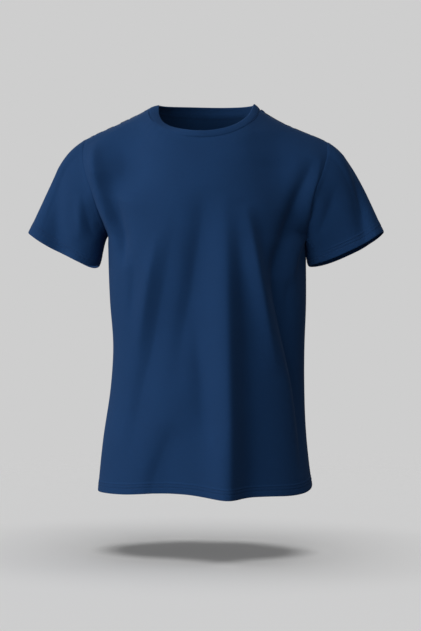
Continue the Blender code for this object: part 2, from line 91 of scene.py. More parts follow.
SLEEVE_SLANT = math.radians(24.5)
SLEEVE_FORWARD = math.radians(4)
CUFF_SETBACK = 0.004           # middle of the hem, towards the back
CUFF_DROOP = 0.008
CUFF_FULLNESS = 2.5
CUFF_SAG_TURN = math.radians(137)
CUFF_SAG_SPREAD = math.radians(33)
LEAVE_LEAN = 0.35              # how a sleeve leaves the armhole
LEAVE_PULL = 0.75
GUSSET_DOWN = 0.78             # the same under the arm
GUSSET_START = 0.31
GUSSET_END = 0.94
CUFF_PULL = 1.10               # how it meets its hem

SECTIONS = table("level left right front back fullness", (
    (-0.700, 0.1960, 0.1940, 0.117, 0.113, 2.2),
    (-0.660, 0.1928, 0.1880, 0.117, 0.112, 2.2),
    (-0.600, 0.1867, 0.1813, 0.117, 0.109, 2.2),
    (-0.500, 0.1719, 0.1773, 0.117, 0.104, 2.3),
    (-0.430, 0.1675, 0.1770, 0.118, 0.104, 2.4),
    (-0.350, 0.1725, 0.1794, 0.122, 0.112, 2.4),
    (-0.290, 0.1750, 0.1792, 0.126, 0.122, 2.3),
    (-0.248, 0.1763, 0.1784, 0.127, 0.127, 2.2),
    (-0.230, 0.1770, 0.1770, 0.127, 0.128, 2.2),
    (-0.210, 0.1880, 0.1880, 0.126, 0.129, 2.0),
    (-0.180, 0.2180, 0.2180, 0.124, 0.128, 1.6),
    (-0.150, 0.2520, 0.2520, 0.119, 0.126, 1.35),
    (-0.100, 0.2900, 0.2900, 0.106, 0.114, 1.2),
    (-0.060, 0.3100, 0.3100, 0.0915, 0.098, 1.2),
    (-0.020, 0.3200, 0.3200, 0.077, 0.080, 1.2),
    (0.040, 0.3200, 0.3200, 0.062, 0.062, 1.2),
))
SHOULDER_LINE = table("reach left right", (
    (-0.060, 0.0200, 0.0200),
    (0.000, 0.0400, 0.0400),
    (0.060, 0.0220, 0.0180),
    (0.102, -0.0022, -0.0105),
    (0.130, -0.0166, -0.0272),
    (0.170, -0.0348, -0.0456),
    (0.200, -0.0478, -0.0580),
    (0.217, -0.0560, -0.0660),
))
ARMHOLE_LINE = table("rise reach", (
    (0.00, 0.1770),
    (0.08, 0.1800),
    (0.24, 0.1880),
    (0.44, 0.1970),
    (0.65, 0.2100),
    (0.86, 0.2175),
    (1.00, 0.2170),
))
Cuff = namedtuple("Cuff", "reach level half_length half_depth sag gusset")
CUFFS = {
    -1: Cuff(0.2607, -0.2550, 0.0710, 0.0470, 0.0055, 0.70),
    1: Cuff(0.2510, -0.2565, 0.0732, 0.0420, 0.0008, 0.42),
}
HEM_LINE = table("across front back", (
    (-1.00, -0.6915, -0.6915),
    (-0.70, -0.6900, -0.6900),
    (-0.50, -0.6884, -0.6880),
    (-0.25, -0.6834, -0.6885),
    (-0.08, -0.6831, -0.6890),
    (0.17, -0.6892, -0.6870),
    (0.33, -0.6877, -0.6850),
    (0.45, -0.6875, -0.6840),
    (0.60, -0.6884, -0.6845),
    (0.75, -0.6870, -0.6850),
    (1.00, -0.6800, -0.6800),
))

# Folds, as in the solids but sharper, with the small creases that the solids leave out. crisp is
# the power in a fold's profile: 2 is a soft swell, and 1 runs to a crease.
Fold = namedtuple("Fold", "name left right crisp route")
ROUTE_STEPS = 33
FOLD_REACH = 3.2               # widths from a fold's route to where nothing is left of it
FRONT_FOLDS = (
    Fold("long ridge", 0.030, 0.022, 1.8, (
        (0.045, -0.160, 0), (0.047, -0.250, 0.010), (0.0485, -0.380, 0.022),
        (0.0505, -0.530, 0.029), (0.0525, -0.700, 0.029))),
    Fold("swell beside it at the hem", 0.050, 0.020, 2.0, (
        (0.030, -0.560, 0), (0.032, -0.620, 0.005), (0.034, -0.700, 0.008))),
    Fold("valley beside the long ridge", 0.018, 0.036, 2.0, (
        (0.072, -0.200, 0), (0.076, -0.290, -0.004), (0.084, -0.400, -0.003),
        (0.092, -0.550, -0.002), (0.094, -0.700, -0.003))),
    Fold("second ridge", 0.020, 0.013, 1.8, (
        (0.078, -0.180, 0), (0.088, -0.225, 0.009), (0.097, -0.281, 0.016),
        (0.107, -0.335, 0.014), (0.117, -0.390, 0.009), (0.126, -0.440, 0.004),
        (0.133, -0.480, 0))),
    Fold("drag from the right armpit", 0.015, 0.020, 1.7, (
        (0.197, -0.096, 0), (0.191, -0.118, -0.006), (0.183, -0.140, -0.009),
        (0.164, -0.188, -0.011), (0.147, -0.234, -0.010), (0.138, -0.275, -0.007),
        (0.134, -0.310, 0))),
    Fold("drape across to the right side", 0.012, 0.030, 1.7, (
        (0.138, -0.245, 0), (0.131, -0.285, -0.009), (0.132, -0.330, -0.014),
        (0.142, -0.380, -0.015), (0.155, -0.440, -0.014), (0.166, -0.500, -0.012),
        (0.172, -0.580, -0.006), (0.175, -0.660, 0))),
    Fold("ridge below the right armpit", 0.022, 0.009, 1.8, (
        (0.208, -0.080, 0), (0.205, -0.105, 0.003), (0.200, -0.135, 0.006),
        (0.186, -0.181, 0.009), (0.178, -0.225, 0.008), (0.168, -0.265, 0.005),
        (0.159, -0.320, 0))),
    Fold("left slanting trough", 0.016, 0.040, 1.8, (
        (-0.028, -0.174, 0), (-0.042, -0.229, -0.002), (-0.054, -0.281, -0.006),
        (-0.064, -0.333, -0.008), (-0.075, -0.381, -0.009), (-0.086, -0.434, -0.008),
        (-0.101, -0.495, -0.006), (-0.113, -0.557, -0.004), (-0.124, -0.630, 0))),
    Fold("ridge beside the left trough", 0.014, 0.011, 1.8, (
        (-0.072, -0.230, 0), (-0.084, -0.290, 0.005), (-0.094, -0.345, 0.005),
        (-0.104, -0.400, 0.003), (-0.114, -0.450, 0))),
    Fold("middle trough", 0.020, 0.036, 1.8, (
        (0.012, -0.150, 0), (0.006, -0.218, -0.008), (-0.004, -0.280, -0.012),
        (-0.014, -0.340, -0.012), (-0.026, -0.395, -0.009), (-0.034, -0.450, -0.004),
        (-0.040, -0.510, 0))),
    Fold("faint lower trough", 0.014, 0.018, 1.8, (
        (-0.006, -0.360, 0), (-0.002, -0.424, -0.004), (0.003, -0.476, -0.005),
        (0.007, -0.530, -0.003), (0.010, -0.590, 0))),
    Fold("low left crease", 0.014, 0.034, 1.7, (
        (-0.034, -0.535, 0), (-0.048, -0.581, -0.002), (-0.064, -0.612, -0.003),
        (-0.079, -0.651, -0.005), (-0.085, -0.690, -0.003))),
    Fold("low middle trough", 0.030, 0.046, 1.9, (
        (-0.056, -0.560, 0), (-0.054, -0.610, -0.004), (-0.053, -0.700, -0.006))),
    Fold("ridge along the left armhole", 0.018, 0.013, 1.8, (
        (-0.198, -0.064, 0), (-0.195, -0.084, 0.006), (-0.191, -0.106, 0.011),
        (-0.185, -0.130, 0.013), (-0.178, -0.155, 0.013), (-0.171, -0.179, 0.012),
        (-0.165, -0.205, 0.009), (-0.159, -0.228, 0.005), (-0.151, -0.262, 0))),
    Fold("drag from the left armpit", 0.013, 0.026, 1.7, (
        (-0.181, -0.120, 0), (-0.175, -0.143, -0.008), (-0.167, -0.166, -0.012),
        (-0.159, -0.190, -0.013), (-0.152, -0.217, -0.014), (-0.145, -0.243, -0.013),
        (-0.134, -0.290, 0))),
    Fold("hollow before the left armhole", 0.038, 0.054, 1.9, (
        (-0.165, -0.048, 0), (-0.146, -0.080, -0.017), (-0.139, -0.108, -0.022),
        (-0.141, -0.136, -0.015), (-0.144, -0.172, 0))),
    Fold("faint left trough", 0.010, 0.014, 1.8, (
        (-0.119, -0.262, 0), (-0.118, -0.295, -0.003), (-0.121, -0.345, -0.003),
        (-0.125, -0.390, 0))),
    Fold("right chest hollow", 0.056, 0.040, 2.0, (
        (0.116, -0.050, 0), (0.126, -0.070, -0.006), (0.134, -0.090, -0.010),
        (0.139, -0.112, -0.013), (0.139, -0.134, -0.011), (0.134, -0.156, -0.007),
        (0.122, -0.186, 0))),
    Fold("right side crease", 0.008, 0.012, 1.7, (
        (0.160, -0.300, 0), (0.154, -0.345, -0.002), (0.160, -0.400, 0))),
)
BACK_FOLDS = (
    Fold("left hanging ridge", 0.045, 0.022, 1.9, (
        (-0.074, -0.190, 0), (-0.070, -0.350, 0.006), (-0.062, -0.520, 0.010),
        (-0.060, -0.700, 0.011))),
    Fold("middle trough", 0.026, 0.038, 1.9, (
        (0.022, -0.150, 0), (0.012, -0.300, -0.005), (0.000, -0.450, -0.008),
        (-0.010, -0.700, -0.004))),
    Fold("right hanging ridge", 0.024, 0.045, 1.9, (
        (0.088, -0.210, 0), (0.091, -0.360, 0.006), (0.082, -0.500, 0.009),
        (0.076, -0.700, 0.010))),
    Fold("drag from the right armhole", 0.016, 0.022, 1.6, (
        (0.182, -0.110, 0), (0.163, -0.170, -0.009), (0.136, -0.235, -0.009),
        (0.122, -0.310, -0.005), (0.138, -0.440, 0))),
    Fold("drag from the left armhole", 0.020, 0.014, 1.6, (
        (-0.184, -0.105, 0), (-0.166, -0.165, -0.008), (-0.142, -0.215, -0.007),
        (-0.128, -0.290, 0))),
    Fold("second drag from the left armhole", 0.010, 0.014, 1.7, (
        (-0.180, -0.150, 0), (-0.150, -0.190, -0.004), (-0.108, -0.220, -0.003),
        (-0.080, -0.240, 0))),
    Fold("left waist crease", 0.012, 0.020, 1.6, (
        (-0.130, -0.392, 0), (-0.080, -0.424, -0.006), (-0.025, -0.432, 0))),
    Fold("right waist crease", 0.016, 0.012, 1.6, (
        (0.155, -0.408, 0), (0.110, -0.440, -0.005), (0.060, -0.452, 0))),
    Fold("small waist crease", 0.008, 0.012, 1.7, (
        (0.020, -0.402, 0), (-0.020, -0.386, -0.003), (-0.062, -0.384, 0))),
    Fold("low right crease", 0.010, 0.014, 1.7, (
        (0.120, -0.560, 0), (0.132, -0.620, -0.004), (0.138, -0.690, -0.003))),
    Fold("low left crease", 0.010, 0.014, 1.7, (
        (-0.130, -0.540, 0), (-0.124, -0.610, -0.004), (-0.118, -0.690, -0.003))),
)
LEFT_SLEEVE_FOLDS = (
    Fold("outer trough", 0.028, 0.022, 1.8, (
        (46, 0.36, 0), (57, 0.52, -0.006), (68, 0.68, -0.012), (80, 0.84, -0.017),
        (91, 1.00, -0.017))),
    Fold("front ridge", 0.010, 0.010, 1.8, (
        (96, 0.25, 0), (104, 0.40, 0.004), (109, 0.56, 0.004), (113, 0.75, 0))),
    Fold("armpit crease", 0.010, 0.015, 1.6, (
        (94, 0.10, 0), (112, 0.30, -0.003), (136, 0.44, -0.003), (152, 0.48, 0))),
    Fold("back crease", 0.011, 0.014, 1.6, (
        (268, 0.10, 0), (248, 0.34, -0.006), (222, 0.50, -0.004))),
    Fold("back trough", 0.011, 0.014, 1.6, (
        (305, 0.40, 0), (296, 0.70, -0.005), (288, 1.00, -0.004))),
)
RIGHT_SLEEVE_FOLDS = (
    Fold("outer trough", 0.018, 0.016, 1.7, (
        (14, 0.24, 0), (29, 0.48, -0.007), (48, 0.74, -0.011), (64, 1.00, -0.005))),
    Fold("armpit crease", 0.009, 0.013, 1.6, (
        (78, 0.25, 0), (96, 0.42, -0.002), (116, 0.56, -0.002), (135, 0.62, 0))),
    Fold("tuck of the hem", 0.050, 0.050, 2.0, (
        (40, 1.00, 0), (66, 1.00, -0.006), (105, 1.00, -0.009), (140, 1.00, -0.006),
        (165, 1.00, 0))),
    Fold("back crease", 0.011, 0.014, 1.6, (
        (264, 0.12, 0), (246, 0.36, -0.007), (220, 0.48, -0.004))),
    Fold("back trough", 0.013, 0.011, 1.6, (
        (318, 0.35, 0), (308, 0.70, -0.005), (300, 1.00, -0.005))),
)

# ---- Cloth details ----

CLOSED = ("sleeve_left", "sleeve_right")       # pieces that go once round
JERSEY = 0.0009                # thickness of the cloth
COLUMN_PITCH = 0.0024          # grid of the pieces
ROW_PITCH = 0.0040
SLEEVE_ROW_PITCH = 0.0028
SLEEVE_COLUMN_PITCH = 0.0030
BODY_LENGTH = 0.455            # lengths that the pitches are counted on
YOKE_LENGTH = 0.235
PANEL_WIDTH = 0.490
SLEEVE_LENGTH = 0.160

HEM_HEIGHT = 0.0195            # turned hems, and the length in which their thickness ends
HEM_THICK = 0.00055
HEM_END = 0.0016
HEM_NEEDLES = (0.0105, 0.0160)
NEEDLE_DIP = 0.00045
NEEDLE_WIDTH = 0.0008
EDGE_ROLL = 0.0006
EDGE_ROLL_WIDTH = 0.0009
ROPING = 0.00014               # slanting ripples of a hem, from just above its edge
ROPING_PITCH = 0.0085
ROPING_SLANT = 0.024
ROPING_START = 0.003
ROPING_FADE = 0.012

SEAM_DIP = 0.0002              # sewn seams, and the allowance that lies to one side of each
SEAM_WIDTH = 0.0012
SEAM_START = 0.004             # they fade in over this length from a hem or an armhole
SLEEVE_SEAM_DIP = SEAM_DIP * 0.8
ALLOWANCE = 0.0060
ALLOWANCE_THICK = 0.0003
ALLOWANCE_START = 0.0012       # lengths in which the allowance's thickness starts and ends
ALLOWANCE_END = 0.0018
INSIDE_THICK = 0.0008          # turned hems and allowances, on the inside

EDGE_WEAR = 0.0016             # widths and shares of the worn lines
HEM_WEAR = 0.0012
HEM_WEAR_SHARE = 0.5
SEAM_WEAR_SHARE = 0.3
RIB_WEAR = 0.0018

STITCH_PITCH = 0.0030          # needle stitches of the hems
STITCH_LENGTH = 0.0024
STITCH_RADIUS = 0.00024
STITCH_SIDES = 5
STITCH_PROFILE = ((-0.5, 0.0), (-0.46, 0.7), (-0.3, 1.0), (0.3, 1.0), (0.46, 0.7), (0.5, 0.0))
STITCH_ARCH = 0.9              # height of its middle over its ends and their depth, in radii
STITCH_SUNK = 0.5
STITCH_TIP = 0.08              # least radius, in radii

SWELL = 0.0008                 # slow unevenness of the hanging cloth
SWELL_SIZE = (0.060, 0.060, 0.130)

RIB_PITCH = 0.0023             # neck rib: one rib and its groove in this length
RIB_COLUMNS = 6                # columns of faces in that length
RIB_RELIEF = 0.00042
RIB_CREST = 0.7                # below 1, crests are wider than grooves
RIB_THICK = 0.0021
RIB_SUNK = 0.55                # how far the band lies below the seam's level, in half thicknesses
RIB_RING_STEPS = 1201
# Steps across the band in shares of its width, up the outside and down the inside, with the fold
# at its edge between them. Below 0 it lies under the panels' edges.
RIB_OUTSIDE = (-0.10, -0.04, 0.0, 0.03, 0.07, 0.13, 0.22, 0.34, 0.48, 0.62, 0.76, 0.88)
RIB_INSIDE = (0.80, 0.62, 0.46, 0.32, 0.20, 0.10, 0.03, -0.06, -0.10)
RIB_FOLD_DEGREES = range(0, 181, 18)
RIB_UNDER = 0.0009             # depth of the part under the panels' edges
RIB_THIN = 0.15                # share of the thickness at the seam, outside and inside
RIB_THIN_INSIDE = 0.8
RIB_FULL = 0.16                # share of the width where the full thickness starts
RIB_FULL_INSIDE = 0.05
RIB_RELIEF_START = 0.02        # share of the width where the relief starts, and in which it grows
RIB_RELIEF_GROWTH = 0.10

SHARP_ANGLE = math.radians(50)
SPECK = 1e-12                  # keeps a length of zero from dividing

JERSEY_WALE = 0.00080          # knit of the materials: width and height of a loop, and relief
JERSEY_COURSE = 0.00062
JERSEY_DEPTH = 0.00016
RIB_COURSE = 0.00085
RIB_DEPTH = 0.00022
FIBRE_SCALE = 900              # noises of the materials, in cycles a metre
YARN_SCALE = (90, 620, 1)
CLOUD_SCALE = 14
THREAD_SCALE = 2500
THREAD_DEPTH = 0.00008
DARKEST = 0.35                 # darkest and lightest shades of the knit, as shares of its colour: painted shade in its grooves, random tone and lighter wear
LIGHTEST = 1.45
ROUGHNESS = 0.88
NAVY = (0.0072, 0.0385, 0.1200)


def curve(at, knots, values):
    """Smooth curve through a table's rows, read at any places between them."""
    slopes = np.gradient(values, knots)
    at = np.clip(at, knots[0], knots[-1])
    i = np.clip(np.searchsorted(knots, at, side="right") - 1, 0, len(knots) - 2)
    span = knots[i + 1] - knots[i]
    t = (at - knots[i]) / span
    start = (1 + 2 * t) * (1 - t) ** 2 * values[i] + t * (1 - t) ** 2 * span * slopes[i]
    end = t * t * (3 - 2 * t) * values[i + 1] + t * t * (t - 1) * span * slopes[i + 1]
    return start + end


def section(level, name):
    return curve(level, SECTIONS["level"], SECTIONS[name])


def ease(t):
    """Smooth step from 0 to 1."""
    t = np.clip(t, 0, 1)
    return t * t * (3 - 2 * t)


def bump(distance, width):
    return np.exp(-(distance / width) ** 2)


def unit(vectors):
    return vectors / np.linalg.norm(vectors, axis=-1, keepdims=True)


def travelled(line):
    """Length up to each point of a line."""
    return np.concatenate([[0], np.cumsum(np.linalg.norm(np.diff(line, axis=0), axis=1))])


def along_line(at, knots, line):
    """Points at some places along a line, whose own points are at the knots."""
    return np.stack([np.interp(at, knots, line[:, i]) for i in range(3)], -1)


def wrapped(grid):
    """A grid with its first column again after the last."""
    return np.concatenate([grid, grid[:, :1]], 1)


CORNERS = ((slice(None, -1), slice(None, -1)), (slice(None, -1), slice(1, None)),
           (slice(1, None), slice(1, None)), (slice(1, None), slice(None, -1)))


def squares(index, flat):
    """Faces of a grid of numbered points, and their corners' places on the flat cloth."""
    faces = np.stack([index[corner].ravel() for corner in CORNERS], 1)
    return faces, np.stack([flat[corner].reshape(-1, 2) for corner in CORNERS], 1)


def shoulder_level(x):
    left, right = (curve(np.abs(x), SHOULDER_LINE["reach"], SHOULDER_LINE[side])
                   for side in ("left", "right"))
    return np.where(x < 0, left, right)


def form_width(side, level):
    return np.where(side < 0, section(level, "left"), section(level, "right"))


def armhole_reach(side, level):
    top = shoulder_level(side * SHOULDER_REACH)
    rise = (level - UNDERARM_LEVEL) / (top - UNDERARM_LEVEL)
    return curve(rise, ARMHOLE_LINE["rise"], ARMHOLE_LINE["reach"])


def body_point(face, x, z):
    """Point of the body form at x and z, on the front (face -1) or the back (face 1)."""
    width = form_width(np.sign(x), z)
    across = 1 - np.clip(np.abs(x) / width, 0, 1) ** 2
    drop = np.clip((shoulder_level(x) - z) / SHOULDER_ROLL, 0, 1)
    roll = np.sqrt(drop * (2 - drop))
    depth = section(z, "front" if face < 0 else "back")
    y = face * depth * across ** (1 / section(z, "fullness")) * roll
    return np.stack([x, y, z], -1)


def neckline(face, turn):
    """Neckline seam from one side neck point (turn -1) to the other (turn 1)."""
    square = NECK_SQUARENESS
    angle = math.pi / 2 * ((1 - square) * turn + square * np.sin(turn * math.pi / 2))
    x = np.where(turn < 0, NECK_REACH_LEFT, NECK_REACH_RIGHT) * np.sin(angle)
    drop = FRONT_NECK_DROP if face < 0 else BACK_NECK_DROP
    left, right = shoulder_level(-NECK_REACH_LEFT), shoulder_level(NECK_REACH_RIGHT)
    level = left + (right - left) * (x + NECK_REACH_LEFT) / (NECK_REACH_LEFT + NECK_REACH_RIGHT)
    return x, level - drop * np.cos(angle)


# Steps of the grids: even, and closer where a hem or a seam needs them

HEM_STEPS = (0, 0.0005, 0.0012, 0.0024, 0.0042, 0.0064, 0.0084, 0.0095, 0.0101, 0.0105, 0.0109,
             0.0115, 0.0126, 0.0140, 0.0150, 0.0156, 0.0160, 0.0164, 0.0170, 0.0180, 0.0190,
             0.0198, 0.0206, 0.0220)
SEAM_STEPS = (0, 0.0007, 0.0014, 0.0022, 0.0034, 0.0048, 0.0062, 0.0076, 0.0095)


def spaced(length, pitch, start=(0,), end=(0,)):
    """Places from 0 to length, with the given steps from each end and even ones between them."""
    middle = np.linspace(start[-1], length - end[-1],
                         max(2, round((length - start[-1] - end[-1]) / pitch) + 1))
    return np.unique(np.concatenate([start[:-1], middle, length - np.array(end[:-1])]).round(7))


BODY_RISES = spaced(BODY_LENGTH, ROW_PITCH, HEM_STEPS)[:-1] / BODY_LENGTH
YOKE_STEPS = spaced(YOKE_LENGTH, SLEEVE_COLUMN_PITCH, (0,), SEAM_STEPS) / YOKE_LENGTH
SHARES = spaced(PANEL_WIDTH, COLUMN_PITCH, SEAM_STEPS, SEAM_STEPS) / PANEL_WIDTH * 2 - 1
SLEEVE_STEPS = spaced(SLEEVE_LENGTH, SLEEVE_ROW_PITCH, SEAM_STEPS, HEM_STEPS) / SLEEVE_LENGTH


def panel_grid(face):
    """Points of a body panel, in rows from the hem up and columns from -X to +X."""
    side = np.where(SHARES < 0, -1.0, 1.0)
    on_neck = np.abs(SHARES) <= NECK_SHARE
    neck_x, neck_z = neckline(face, np.clip(SHARES / NECK_SHARE, -1, 1))
    outward = (np.abs(SHARES) - NECK_SHARE) / (1 - NECK_SHARE)
    neck_reach = np.where(side < 0, NECK_REACH_LEFT, NECK_REACH_RIGHT)
    shoulder_x = side * (neck_reach + outward * (SHOULDER_REACH - neck_reach))
    top_x = np.where(on_neck, neck_x, shoulder_x)
    top_z = np.where(on_neck, neck_z, shoulder_level(shoulder_x))
    hem_z = curve(SHARES, HEM_LINE["across"], HEM_LINE["front" if face < 0 else "back"])
    fan = np.clip(np.abs(SHARES) / NECK_SHARE, 0, 1) ** NECK_FAN
    rows = []
    for rise in BODY_RISES:
        z = hem_z + rise * (UNDERARM_LEVEL - hem_z)
        rows.append(body_point(face, form_width(side, z) * np.sin(SHARES * math.pi / 2), z))
    for step in YOKE_STEPS:
        rise = float(np.sin(math.pi / 2 * step) + ease(step)) / 2
        z = UNDERARM_LEVEL + rise * (top_z - UNDERARM_LEVEL)
        reach = armhole_reach(side, np.minimum(z, shoulder_level(side * SHOULDER_REACH)))
        angle = np.arcsin(np.clip(reach / form_width(side, z), 0, 1))
        spread = np.sin(SHARES * angle) / np.sin(angle)
        blend = (1 - fan) * ease(rise) + fan * (1 - math.sqrt(max(0, 1 - rise ** 2)))
        x = reach * ((1 - blend) * spread + blend * top_x / SHOULDER_REACH)
        rows.append(body_point(face, x, z))
    return np.array(rows)


def cuff_axes(side):
    """Directions of a sleeve's hem: outwards along it, to its front, and on down the arm."""
    slant, forward = SLEEVE_SLANT, SLEEVE_FORWARD
    out = np.array([side * math.cos(slant), 0, math.sin(slant)])
    down = np.array([side * math.sin(slant) * math.cos(forward), -math.sin(forward),
                     -math.cos(slant) * math.cos(forward)])
    front = np.cross(out, down)
    return out, front * math.copysign(1, -front[1]), down


def sleeve_grid(side, front, back):
    """Points of a sleeve, in rows from the armhole to the cuff, once round from the shoulder."""
    edge, inner = (0, 1) if side < 0 else (-1, -2)
    below = len(BODY_RISES)
    ring = np.concatenate([front[:below - 1:-1, edge], back[below + 1:-1, edge]])
    beside = np.concatenate([front[:below - 1:-1, inner], back[below + 1:-1, inner]])
    turn = math.pi * np.concatenate([1 - YOKE_STEPS[::-1], 1 + YOKE_STEPS[1:-1]])
    along = unit(np.roll(ring, -1, 0) - np.roll(ring, 1, 0))
    leave = ring - beside
    leave = unit(leave - (leave * along).sum(1)[:, None] * along)
    gusset = np.array([side * CUFFS[side].gusset, 0, -GUSSET_DOWN])
    leave[:, 1] *= LEAVE_LEAN
    below_shoulder = (1 - np.cos(turn)) / 2
    under = ease((below_shoulder - GUSSET_START) / (GUSSET_END - GUSSET_START))[:, None]
    leave = unit(leave * (1 - under) + gusset * under)
    out, ahead, down = cuff_axes(side)
    size = CUFFS[side]
    middle = np.array([side * size.reach, CUFF_SETBACK, size.level])
    cos, sin = np.cos(turn), np.sin(turn)
    length = np.sign(cos) * np.abs(cos) ** (2 / CUFF_FULLNESS) * size.half_length
    depth = np.sign(sin) * np.abs(sin) ** (2 / CUFF_FULLNESS) * size.half_depth
    cuff = (middle + length[:, None] * out + depth[:, None] * ahead
            + sin[:, None] ** 2 * CUFF_DROOP * down
            + bump(math.pi - np.abs(math.pi - turn) - CUFF_SAG_TURN, CUFF_SAG_SPREAD)[:, None]
            * size.sag * down)
    span = np.linalg.norm(cuff - ring, axis=1)[:, None]
    rows = []
    for t in SLEEVE_STEPS:
        start = (1 + 2 * t) * (1 - t) ** 2 * ring + t * t * (3 - 2 * t) * cuff
        leaving = t * (1 - t) ** 2 * span * LEAVE_PULL * leave
        arriving = t * t * (t - 1) * span * CUFF_PULL * down
        rows.append(start + leaving + arriving)
    return np.array(rows)


# ---- Folds ----

def sleeve_point(grid, around, along):
    """Point on a sleeve, around in degrees from the shoulder forwards, along from 0 to 1."""
    turns = np.concatenate([1 - YOKE_STEPS[::-1], 1 + YOKE_STEPS[1:-1], [2]]) * 180
    closed = wrapped(grid)
    row = int(np.clip(np.searchsorted(SLEEVE_STEPS, along), 1, len(SLEEVE_STEPS) - 1))
    part = (along - SLEEVE_STEPS[row - 1]) / (SLEEVE_STEPS[row] - SLEEVE_STEPS[row - 1])
    ring = closed[row - 1] * (1 - part) + closed[row] * part
    return along_line(around % 360, turns, ring)


def fold_lift(points, normals, fold, place):
    """How far a fold lifts each point of a piece along its normal."""
    given = np.array(fold.route)
    knots = np.arange(len(given), dtype=float)
    at = np.linspace(0, knots[-1], ROUTE_STEPS)
    across, up, height = (curve(at, knots, given[:, i]) for i in range(3))
    route = np.array([place(a, b) for a, b in zip(across, up)])
    reach = FOLD_REACH * max(fold.left, fold.right)
    near = ((points > route.min(0) - reach) & (points < route.max(0) + reach)).all(-1)
    points, normals = points[near], normals[near]
    best = np.full(len(points), np.inf)
    found = np.zeros(len(points))
    for i in range(len(route) - 1):
        step = route[i + 1] - route[i]
        share = np.clip(((points - route[i]) @ step) / (step @ step), 0, 1)
        apart = points - route[i] - share[:, None] * step
        distance = np.linalg.norm(apart, axis=-1)
        to_left = (np.cross(step, normals) * apart).sum(-1) > 0
        width = np.where(to_left, fold.left, fold.right)
        crest = height[i] * (1 - share) + height[i + 1] * share
        nearer = distance < best
        best = np.where(nearer, distance, best)
        found = np.where(nearer, crest * np.exp(-(distance / width) ** fold.crisp), found)
    lift = np.zeros(near.shape)
    lift[near] = found
    return lift


def seam_keys(points):
    """Places in whole micrometres, the same for points that meet at a seam."""
    return np.round(points.reshape(-1, 3) * 1e6).astype(int)


def garment_normals(grids):
    """Outward normals of every piece's points, shared where pieces meet at a seam."""
    keys = np.concatenate([seam_keys(grid) for grid in grids.values()])
    places, joined = np.unique(keys, axis=0, return_inverse=True)
    joined = joined.reshape(-1)
    total = np.zeros((len(places), 3))
    start, found = 0, {}
    for name, grid in grids.items():
        index = joined[start:start + grid[..., 0].size].reshape(grid.shape[:2])
        start += index.size
        found[name] = index
        if name in CLOSED:
            index, grid = wrapped(index), wrapped(grid)
        a, b, c, d = (grid[corner] for corner in CORNERS)
        facing = np.cross(c - a, d - b)
        facing /= np.linalg.norm(facing, axis=-1)[..., None] + SPECK
        for corner in CORNERS:
            np.add.at(total, index[corner].reshape(-1), facing.reshape(-1, 3))
    total /= np.linalg.norm(total, axis=1)[:, None] + SPECK
    return {name: total[index] for name, index in found.items()}


def neck_distance(points):
    """How far each point is from the neckline seam."""
    turn = np.linspace(-1, 1, NECK_STEPS)
    seam = np.concatenate([body_point(face, *neckline(face, turn)) for face in (-1, 1)])
    return np.min([np.linalg.norm(points - place, axis=-1) for place in seam], axis=0)


def folded(grids):
    """The pieces with every fold lifted or sunk in them, and the slow unevenness of the cloth."""
    normals = garment_normals(grids)
    left, right = grids["sleeve_left"][:, ::-1], grids["sleeve_right"]
    places = ((FRONT_FOLDS, lambda x, z: body_point(-1, x, z)),
              (BACK_FOLDS, lambda x, z: body_point(1, x, z)),
              (LEFT_SLEEVE_FOLDS, lambda around, along: sleeve_point(left, around, along)),
              (RIGHT_SLEEVE_FOLDS, lambda around, along: sleeve_point(right, around, along)))
    result = {}
    for name, grid in grids.items():
        lift = sum(fold_lift(grid, normals[name], fold, place)
                   for folds, place in places for fold in folds)
        scaled = grid / np.array(SWELL_SIZE)
        swell = [noise.noise(Vector(point)) for point in scaled.reshape(-1, 3)]
        lift += SWELL * np.array(swell).reshape(lift.shape)
        lift *= ease(neck_distance(grid) / NECK_CALM)
        result[name] = grid + lift[..., None] * normals[name]
    return result


# ---- Hems, seams and walls ----

def lengths(grid, axis):
    """Length along the cloth from the start of each row or column."""
    step = np.linalg.norm(np.diff(grid, axis=axis), axis=-1)
    start = np.zeros([1 if i == axis else n for i, n in enumerate(step.shape)])
    return np.cumsum(np.concatenate([start, step], axis), axis)


def from_end(along, axis):
    return np.take(along, [-1], axis) - along


def hem_band(edge):
    """1 on a turned hem and 0 beyond it, from the distance to its edge."""
    return 1 - ease((edge - HEM_HEIGHT + HEM_END / 2) / HEM_END)


def hem_relief(edge, around):
    """Outward lift of a turned hem, from the distance to its edge and the place along it."""
    lift = HEM_THICK * hem_band(edge) - EDGE_ROLL * bump(edge, EDGE_ROLL_WIDTH)
    for needle in HEM_NEEDLES:
        lift = lift - NEEDLE_DIP * bump(edge - needle, NEEDLE_WIDTH)
    rope = np.sin(2 * math.pi * (around / ROPING_PITCH + edge / ROPING_SLANT))
    fade = ease(edge / ROPING_START) * (1 - ease((edge - ROPING_FADE) / ROPING_FADE))
    return lift + ROPING * rope * fade


def allowance(distance, thick):
    """Cloth lying double beside a seam."""
    start = ease((distance - ALLOWANCE_START / 2) / ALLOWANCE_START)
    return thick * start * (1 - ease((distance - ALLOWANCE) / ALLOWANCE_END))


